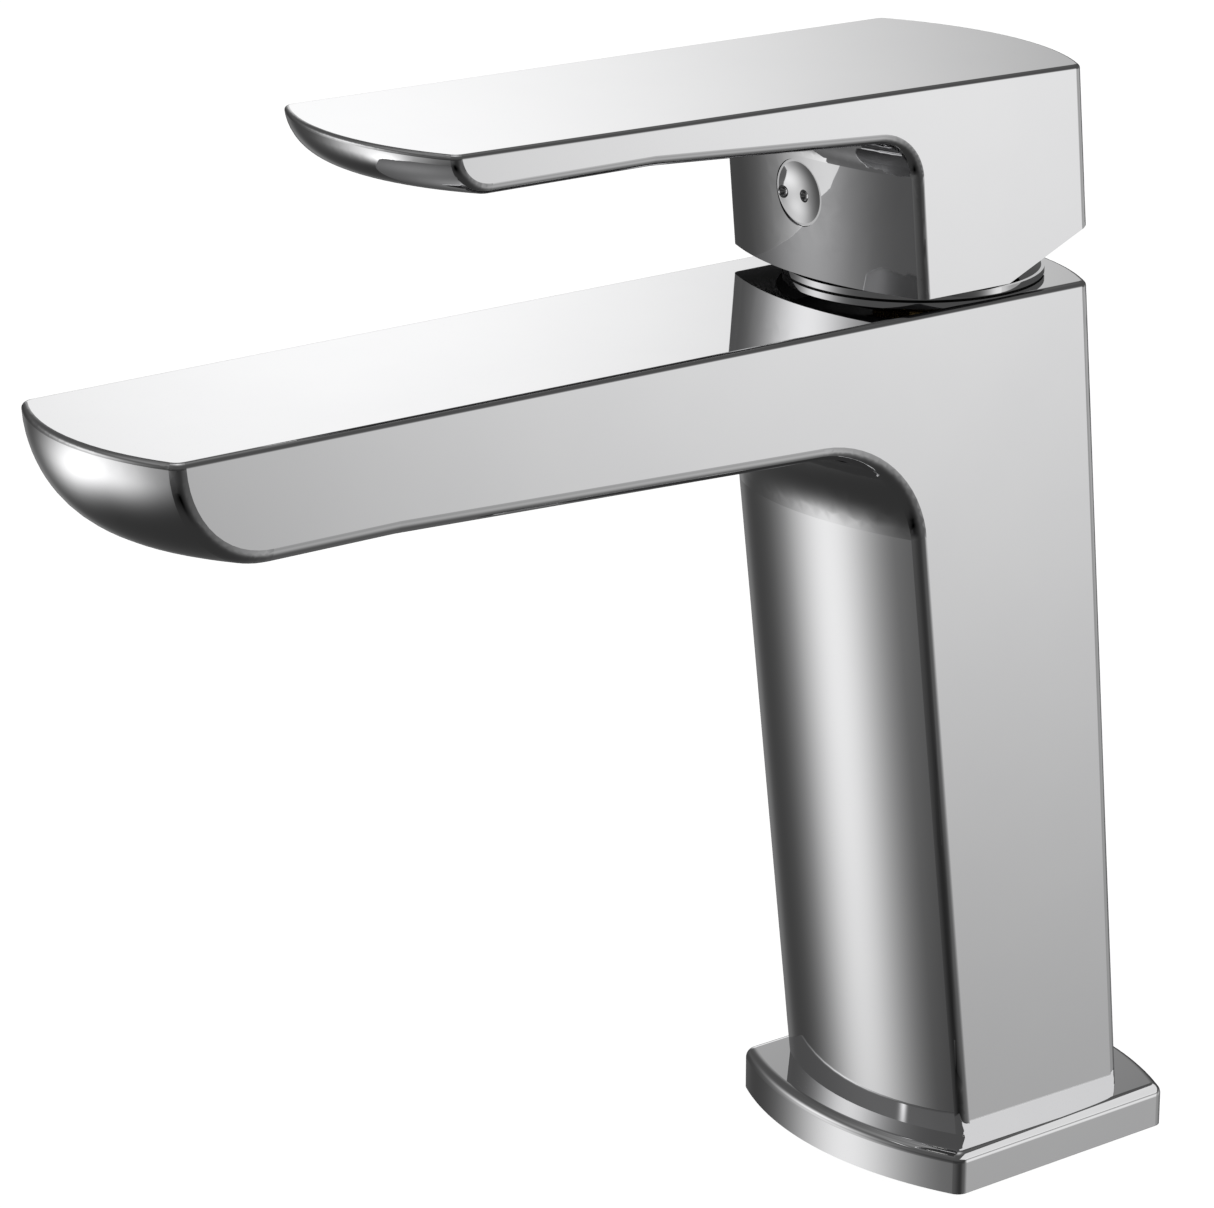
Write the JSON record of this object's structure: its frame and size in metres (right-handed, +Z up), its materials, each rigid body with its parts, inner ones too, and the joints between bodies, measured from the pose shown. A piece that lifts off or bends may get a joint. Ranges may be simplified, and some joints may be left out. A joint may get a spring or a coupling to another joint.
{
  "type": "basin mixer faucet",
  "caption": "Single-lever bathroom basin mixer with a leaning column, long flat spout, bowed base plate and flat lever handle.",
  "frame": {"origin": "centre of the base plate on the deck", "axes": "+Z up, -Y towards the spout's tip, X across the width"},
  "size_m": [0.05, 0.1789, 0.1666],
  "materials": {
    "chrome": "polished chrome plate",
    "rubber": "black moulded rubber",
    "steel": "plain stainless steel",
    "brass": "machined brass",
    "plastic_grey": "moulded acetal",
    "plastic_white": "moulded acetal",
    "plastic_red": "moulded acetal",
    "ceramic": "lapped alumina"
  },
  "bodies": {
    "faucet": {"base_plate": "chrome", "base_gasket": "rubber", "faucet_body": "chrome", "aerator_housing": "chrome", "aerator_insert": "plastic_white", "aerator_screen": "steel", "aerator_washer": "rubber", "port_seals": "rubber", "cartridge_base": "plastic_grey", "fixed_disc": "ceramic", "cartridge_housing": "plastic_grey", "retaining_nut": "brass", "temperature_limiter": "plastic_red", "trim_ring": "chrome", "trim_ring_seal": "rubber"},
    "swivel": {"rotor": "plastic_grey", "pivot_pin": "steel"},
    "lever": {"lever_stem": "brass", "handle": "chrome", "handle_insert": "plastic_white", "set_screw": "steel", "index_button": "chrome"},
    "slider": {"disc_carrier": "plastic_grey", "disc_seal": "rubber", "moving_disc": "ceramic"}
  },
  "joints": [
    {"name": "handle_swivel", "type": "hinge", "parent": "faucet", "child": "swivel", "pos_m": [0, -0.0113, 0.125], "axis": [0, 0, 1], "range_deg": [-45, 45]},
    {"name": "lever_lift", "type": "hinge", "parent": "swivel", "child": "lever", "pos_m": [0, -0.0113, 0.125], "axis": [-1, 0, 0], "range_deg": [0, 22]},
    {"name": "disc_slide", "type": "slide", "parent": "swivel", "child": "slider", "axis": [0, -1, 0], "range_m": [0, 0.0031]}
  ],
  "couplings": [
    {"joint": "disc_slide", "follows": "lever_lift", "m_per_rad": 0.008}
  ]
}
